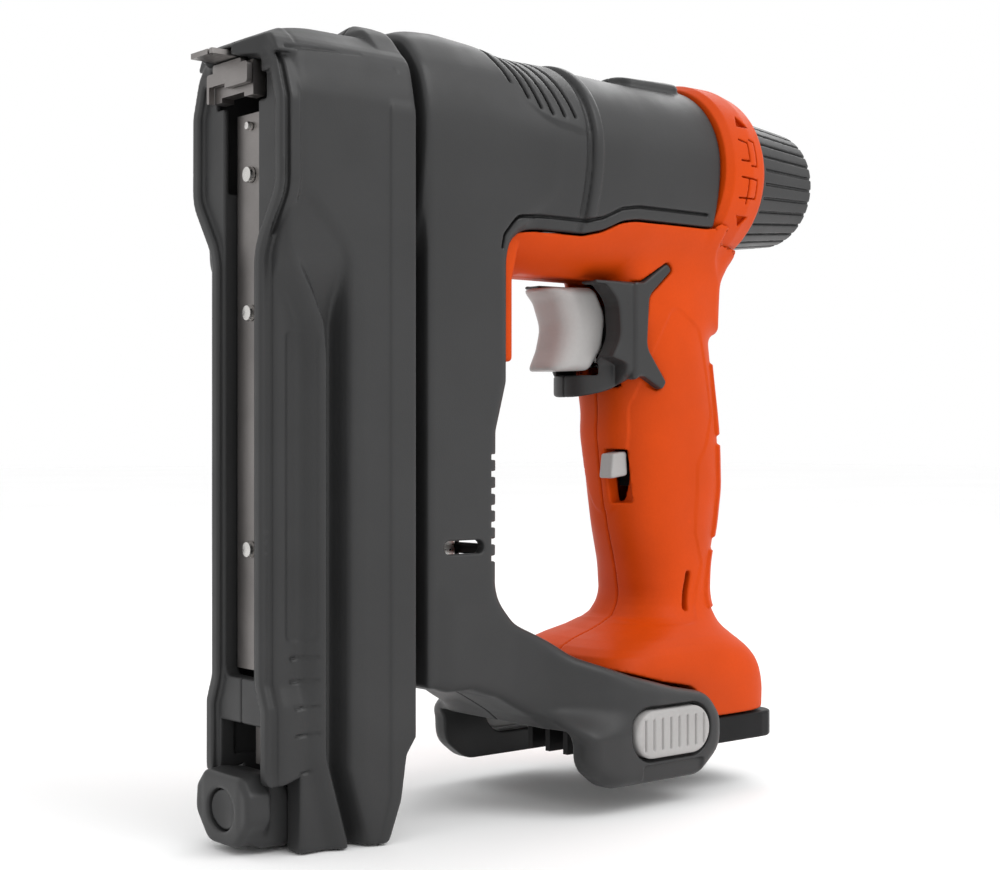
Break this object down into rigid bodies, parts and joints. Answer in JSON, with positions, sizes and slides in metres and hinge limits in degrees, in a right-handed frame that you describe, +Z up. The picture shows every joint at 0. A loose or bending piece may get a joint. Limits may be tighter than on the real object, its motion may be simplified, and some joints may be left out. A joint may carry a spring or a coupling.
{
  "type": "cordless staple gun",
  "caption": "Handheld cordless staple gun: tall side-loading magazine and nose, motor column, round barrel with rear depth knob, grip with trigger, battery foot.",
  "frame": {"origin": "middle of the contact foot's front edge, where the nose meets the work", "axes": "-X points out of the nose along the staple's line of action, +Z up from the battery foot to the barrel, +Y to the user's right, and the tool is close to symmetrical about y = 0"},
  "size_m": [0.2237, 0.0792, 0.2248],
  "materials": {
    "graphite_shell": "fine spark texture, satin",
    "orange_shell": "satin, textured on the grip",
    "black_plastic": "matte",
    "grey_control": "smooth satin",
    "bright_steel": "stamped and brushed",
    "zinc_plate": "zinc plated",
    "copper": "enamelled winding",
    "board": "solder mask"
  },
  "bodies": {
    "housing": {"magazine_shell_left": "graphite_shell", "body_shell_left": "graphite_shell", "handle_shell_left": "orange_shell", "trigger_bezel_left": "graphite_shell", "hammer_guide_left": "bright_steel", "magazine_shell_right": "graphite_shell", "body_shell_right": "graphite_shell", "handle_shell_right": "orange_shell", "trigger_bezel_right": "graphite_shell", "hammer_guide_right": "bright_steel", "magazine_screw_1": "bright_steel", "magazine_screw_2": "bright_steel", "body_screw_1": "bright_steel", "handle_screw_1": "bright_steel", "handle_screw_2": "bright_steel", "spine_frame": "black_plastic", "foot_plate": "black_plastic", "depth_collar": "orange_shell", "screw_nut": "bright_steel", "trigger_spring": "zinc_plate", "lock_switch_body": "black_plastic", "trigger_switch": "black_plastic", "circuit_board": "board", "terminal_block": "black_plastic", "motor_can": "zinc_plate", "motor_cap": "black_plastic", "gearbox_case": "black_plastic", "cam_shaft": "zinc_plate", "drive_spring": "zinc_plate", "spring_rod": "bright_steel", "magazine_rail": "bright_steel", "rail_rivet_1": "zinc_plate", "rail_rivet_2": "zinc_plate", "rail_rivet_3": "zinc_plate", "rail_rivet_4": "zinc_plate", "staple_strip": "zinc_plate", "nose_plate": "bright_steel", "nose_back": "bright_steel"},
    "trigger": {"trigger": "grey_control"},
    "contact_trip": {"contact_foot": "bright_steel"},
    "driver": {"hammer": "bright_steel", "driver_blade": "bright_steel"},
    "motor": {"motor_rotor": "copper", "sun_pinion": "bright_steel"},
    "gear_output": {"output_shaft": "bright_steel"},
    "cam": {"cam_wheel": "bright_steel"},
    "knob": {"depth_knob": "graphite_shell", "adjust_screw": "zinc_plate"},
    "spring_seat": {"spring_seat": "bright_steel"},
    "mode_lock": {"lock_switch": "grey_control"},
    "drawer": {"latch_cap": "graphite_shell", "magazine_core": "bright_steel", "pusher_spring": "zinc_plate"},
    "pusher": {"pusher": "bright_steel"},
    "latch_button": {"latch_button": "graphite_shell"},
    "release_left": {"battery_release_left": "grey_control"},
    "release_right": {"battery_release_right": "grey_control"}
  },
  "joints": [
    {"name": "trigger_pull", "type": "slide", "parent": "housing", "child": "trigger", "axis": [1, 0, 0], "range_m": [0, 0.006], "stiffness_N_per_m": 600, "springref_m": -0.002, "deforming": ["trigger_spring"]},
    {"name": "contact_trip_press", "type": "slide", "parent": "housing", "child": "contact_trip", "axis": [1, 0, 0], "range_m": [0, 0.005], "stiffness_N_per_m": 500, "springref_m": -0.002},
    {"name": "driver_stroke", "type": "slide", "parent": "housing", "child": "driver", "axis": [-1, 0, 0], "range_m": [0, 0.02], "deforming": ["drive_spring"]},
    {"name": "motor_spin", "type": "hinge", "parent": "housing", "child": "motor", "pos_m": [0.0719, 0, -0.1167], "axis": [0, 0, 1], "continuous": true},
    {"name": "gear_output_spin", "type": "hinge", "parent": "housing", "child": "gear_output", "pos_m": [0.0719, 0, -0.0817], "axis": [0, 0, 1], "continuous": true},
    {"name": "cam_spin", "type": "hinge", "parent": "housing", "child": "cam", "pos_m": [0.0737, 0, -0.0427], "axis": [0, 1, 0], "continuous": true},
    {"name": "depth_knob_turn", "type": "hinge", "parent": "housing", "child": "knob", "pos_m": [0.2077, 0, -0.0157], "axis": [1, 0, 0], "range_deg": [-120, 120]},
    {"name": "spring_seat_slide", "type": "slide", "parent": "housing", "child": "spring_seat", "axis": [-1, 0, 0], "range_m": [-0.0012, 0.0012]},
    {"name": "lock_switch_slide", "type": "slide", "parent": "housing", "child": "mode_lock", "axis": [0, 0, -1], "range_m": [0, 0.007]},
    {"name": "magazine_slide", "type": "slide", "parent": "housing", "child": "drawer", "axis": [0, 0, -1], "range_m": [0, 0.11]},
    {"name": "pusher_slide", "type": "slide", "parent": "drawer", "child": "pusher", "axis": [0, 0, -1], "range_m": [0, 0.065], "stiffness_N_per_m": 40, "springref_m": -0.05, "deforming": ["pusher_spring"]},
    {"name": "latch_button_press", "type": "slide", "parent": "drawer", "child": "latch_button", "axis": [1, 0, 0], "range_m": [0, 0.002], "stiffness_N_per_m": 800, "springref_m": -0.001},
    {"name": "battery_release_left_press", "type": "slide", "parent": "housing", "child": "release_left", "axis": [0, 1, 0], "range_m": [0, 0.003], "stiffness_N_per_m": 800, "springref_m": -0.001},
    {"name": "battery_release_right_press", "type": "slide", "parent": "housing", "child": "release_right", "axis": [0, -1, 0], "range_m": [0, 0.003], "stiffness_N_per_m": 800, "springref_m": -0.001}
  ],
  "couplings": [
    {"joint": "gear_output_spin", "follows": "motor_spin", "ratio": 0.2},
    {"joint": "cam_spin", "follows": "motor_spin", "ratio": -0.1},
    {"joint": "spring_seat_slide", "follows": "depth_knob_turn", "m_per_rad": 0.0005}
  ]
}
